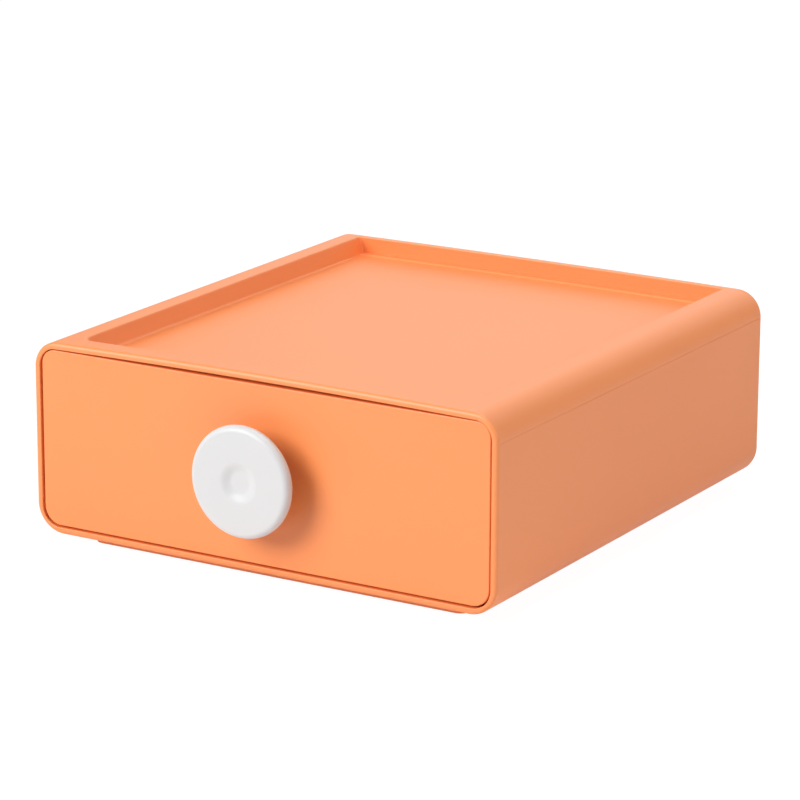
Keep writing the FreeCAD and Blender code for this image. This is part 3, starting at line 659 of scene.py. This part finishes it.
# Each finished piece gets its material and its body. The fixings keep their CAD shapes
finish_piece(case, "shell", "case_plastic", case_plastic, "outer_shell")
finish_piece(drawer, "drawer", "case_plastic", case_plastic, "drawer_tray")
finish_piece(knob, "drawer", "knob_plastic", knob_plastic, "knob")
for pad, node in pads:
    finish_piece(pad, "shell", "pad_rubber", pad_rubber, node)
for node, metal in (("knob_insert", brass), ("knob_washer", zinc), ("knob_screw", zinc)):
    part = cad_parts[node]
    part.data.materials.clear()
    part.data.materials.append(metal)


def seen_share(tree, by_camera, by_gloss):
    """A share for what the camera sees and one for what a gloss mirrors, and 0 for other light."""
    rays = tree.nodes.new("ShaderNodeLightPath")
    larger = tree.nodes.new("ShaderNodeMath")
    larger.operation = "MAXIMUM"
    for place, output, share in ((0, "Is Camera Ray", by_camera), (1, "Is Glossy Ray", by_gloss)):
        scaled = tree.nodes.new("ShaderNodeMath")
        scaled.operation = "MULTIPLY"
        scaled.inputs[1].default_value = share
        tree.links.new(rays.outputs[output], scaled.inputs[0])
        tree.links.new(scaled.outputs["Value"], larger.inputs[place])
    return larger.outputs["Value"]


# Floor, which shows as plain white and keeps a pale shadow
STUDIO_SIZE, STUDIO_GAP = 8000.0, 0.02
leave_edit()
bpy.ops.object.select_all(action="DESELECT")
bpy.ops.mesh.primitive_plane_add(size=STUDIO_SIZE * MM, location=(0.0, 0.0, -STUDIO_GAP * MM))
floor = bpy.context.object
floor.name = "studio_floor"
paper, shader, add, link = new_material("white_paper")
shader.inputs["Base Color"].default_value = (0.9, 0.9, 0.9, 1.0)
shader.inputs["Roughness"].default_value = 0.9
shader.inputs["Specular IOR Level"].default_value = 0.0
plain = add("Emission", Color=(1.0, 1.0, 1.0, 1.0), Strength=1.1)
mixed = add("MixShader")
link(seen_share(paper.node_tree, by_camera=0.88, by_gloss=0.45), mixed.inputs["Fac"])
link(shader.outputs["BSDF"], mixed.inputs[1])
link(plain.outputs["Emission"], mixed.inputs[2])
link(mixed.outputs["Shader"], paper.node_tree.nodes["Material Output"].inputs["Surface"])
floor.data.materials.append(paper)

# Light: one large soft lamp from the upper left in front, weaker ones round it and a pale room for gloss
world = bpy.data.worlds.new("studio_room")
bpy.context.scene.world = world
world.use_nodes = True
room = world.node_tree.nodes["Background"]
room.inputs["Color"].default_value = (1.0, 1.0, 1.0, 1.0)
room_share = seen_share(world.node_tree, by_camera=1.0, by_gloss=0.6)
world.node_tree.links.new(room_share, room.inputs["Strength"])


def lamp(name, place, aim, width, height, power):
    """A soft rectangular lamp that points at a place, with lengths in millimetres and power in watts."""
    bpy.ops.object.light_add(type="AREA", location=[c * MM for c in place])
    light = bpy.context.object
    light.name = name
    light.data.shape = "RECTANGLE"
    light.data.size = width * MM
    light.data.size_y = height * MM
    light.data.energy = power
    direction = Vector(aim) * MM - light.location
    light.rotation_euler = direction.to_track_quat("-Z", "Y").to_euler()


lamp("key_lamp", place=(-870, -1700, 1130), aim=(0, 0, 30), width=1300, height=1300, power=46.5)
lamp("side_lamp", place=(1400, 200, 500), aim=(90, 0, 40), width=900, height=700, power=6.0)
lamp("top_lamp", place=(200, 100, 1380), aim=(0, 0, 40), width=900, height=900, power=8.9)
lamp("back_lamp", place=(-300, 1700, 850), aim=(0, 0, 60), width=2000, height=1100, power=6.6)

bpy.context.scene.view_settings.view_transform = "Standard"
